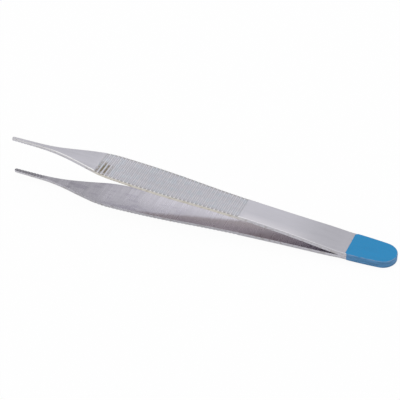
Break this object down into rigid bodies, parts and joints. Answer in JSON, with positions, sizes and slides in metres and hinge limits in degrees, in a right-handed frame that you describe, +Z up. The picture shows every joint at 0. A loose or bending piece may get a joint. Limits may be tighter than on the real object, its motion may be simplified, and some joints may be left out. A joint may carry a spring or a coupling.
{
  "type": "thumb forceps",
  "caption": "Fine-tipped thumb forceps in satin steel: two sprung arms with cross-grooved grips and serrated jaws, joined at a blue coated end.",
  "frame": {"origin": "under the middle of the forceps' box, on the table they lie on", "axes": "+X from the tips to the coated end, +Y across the width of the arms, +Z up, from the lower arm to the upper one"},
  "size_m": [0.1202, 0.0104, 0.0142],
  "materials": {
    "satin_steel": "satin",
    "blue_coating": "satin"
  },
  "bodies": {
    "root": {"upper_arm": "satin_steel", "lower_arm": "satin_steel", "blue_end_coating": "blue_coating"}
  },
  "joints": []
}
